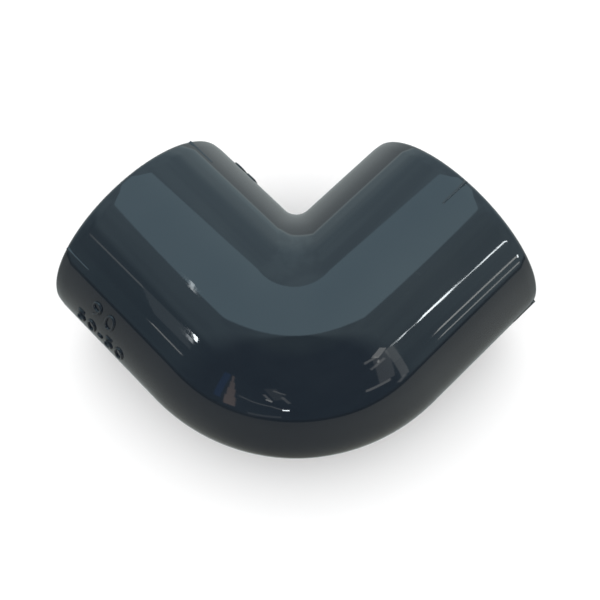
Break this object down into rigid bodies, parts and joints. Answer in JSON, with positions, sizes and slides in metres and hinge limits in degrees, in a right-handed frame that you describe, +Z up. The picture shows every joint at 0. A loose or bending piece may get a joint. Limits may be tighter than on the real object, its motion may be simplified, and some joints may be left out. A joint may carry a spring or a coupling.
{
  "type": "pipe elbow",
  "caption": "Moulded right-angle pipe elbow with plain solvent-weld sockets for 50 mm pipe, a swept heel, a tight crotch and pipe stops inside.",
  "frame": {"origin": "middle of the underside of the bounding box, with the elbow lying flat on a level surface", "axes": "+X out of the mouth along one socket's axis, +Y out of the mouth along the other socket's axis, +Z up, square to both"},
  "size_m": [0.0866, 0.087, 0.0576],
  "materials": {
    "upvc": "dark blue-grey unplasticised PVC, glossy as moulded"
  },
  "bodies": {
    "root": {"elbow_body": "upvc"}
  },
  "joints": []
}
